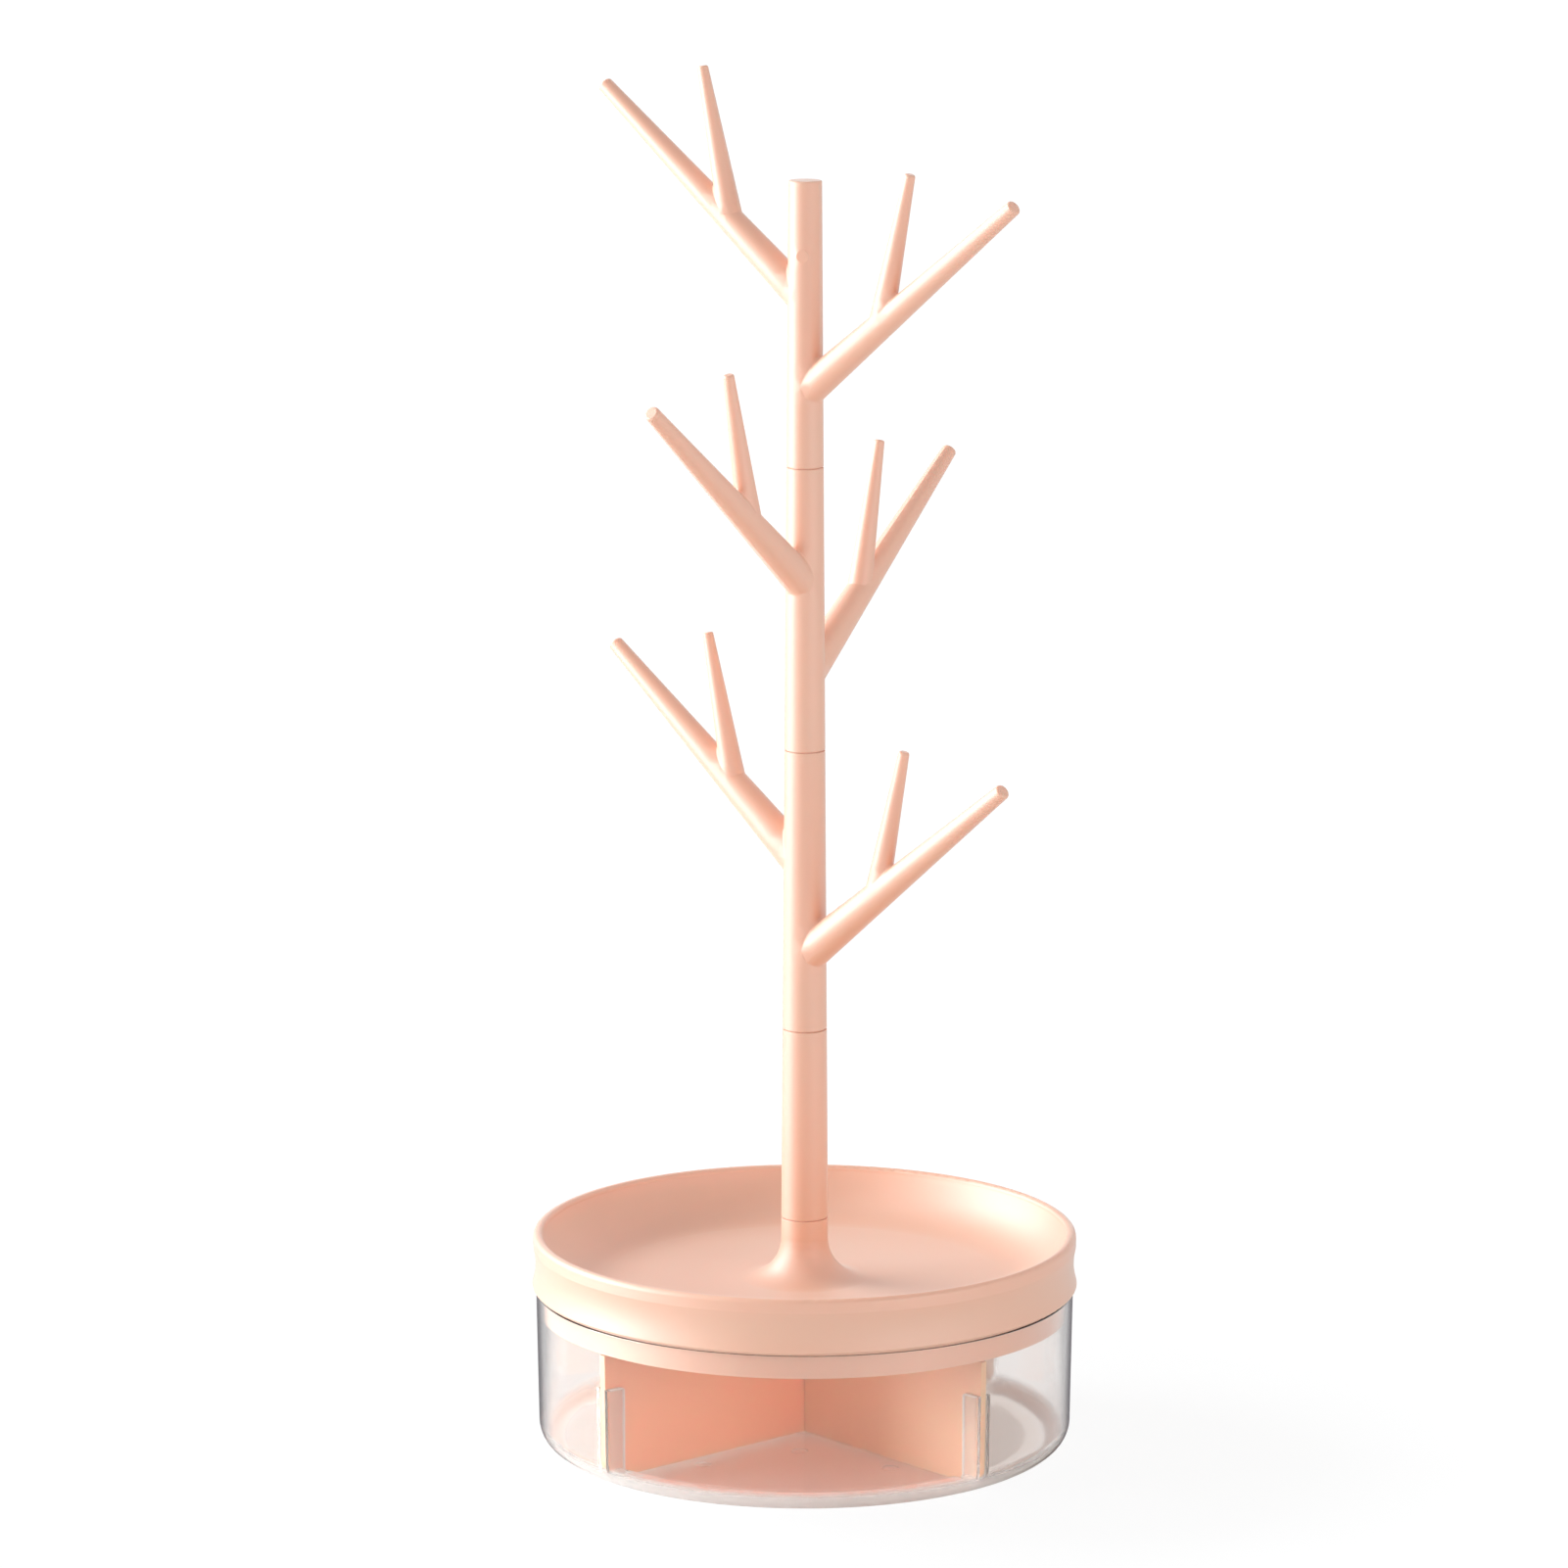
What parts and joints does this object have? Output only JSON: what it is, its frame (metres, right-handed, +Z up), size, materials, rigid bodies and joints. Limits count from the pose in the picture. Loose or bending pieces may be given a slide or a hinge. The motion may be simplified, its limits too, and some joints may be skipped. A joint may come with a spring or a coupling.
{
  "type": "rotating jewelry stand",
  "caption": "Tree-shaped jewelry stand: turning trunk sections with upswept branches and twigs rise from a dished tray lid over a clear round box split by a cross divider.",
  "frame": {"origin": "centre of the face that the cup stands on", "axes": "+Z up along the trunk, -Y towards the front as pictured, +X to the viewer's right"},
  "size_m": [0.1622, 0.1622, 0.4081],
  "materials": {
    "clear_plastic": "clear, glossy moulded polystyrene",
    "divider_plastic": "blush pink moulded plastic, fine satin",
    "blush_plastic": "blush pink moulded plastic, fine satin"
  },
  "bodies": {
    "box": {"clear_cup": "clear_plastic", "divider_plate_lower": "divider_plastic", "divider_plate_upper": "divider_plastic"},
    "lid": {"tray_lid": "blush_plastic"},
    "base_trunk": {"trunk_base": "blush_plastic"},
    "lower_tier": {"branch_section_lower": "blush_plastic"},
    "middle_tier": {"branch_section_middle": "blush_plastic"},
    "top_tier": {"branch_section_top": "blush_plastic"}
  },
  "joints": [
    {"name": "lid_lift", "type": "slide", "parent": "box", "child": "lid", "axis": [0, 0, 1], "range_m": [0, 0.08]},
    {"name": "trunk_base_turn", "type": "hinge", "parent": "lid", "child": "base_trunk", "pos_m": [0, 0, 0.068], "axis": [0, 0, 1], "continuous": true},
    {"name": "lower_section_turn", "type": "hinge", "parent": "base_trunk", "child": "lower_tier", "pos_m": [0, 0, 0.1254], "axis": [0, 0, 1], "continuous": true},
    {"name": "middle_section_turn", "type": "hinge", "parent": "lower_tier", "child": "middle_tier", "pos_m": [0, 0, 0.2092], "axis": [0, 0, 1], "continuous": true},
    {"name": "top_section_turn", "type": "hinge", "parent": "middle_tier", "child": "top_tier", "pos_m": [0, 0, 0.293], "axis": [0, 0, 1], "continuous": true}
  ]
}
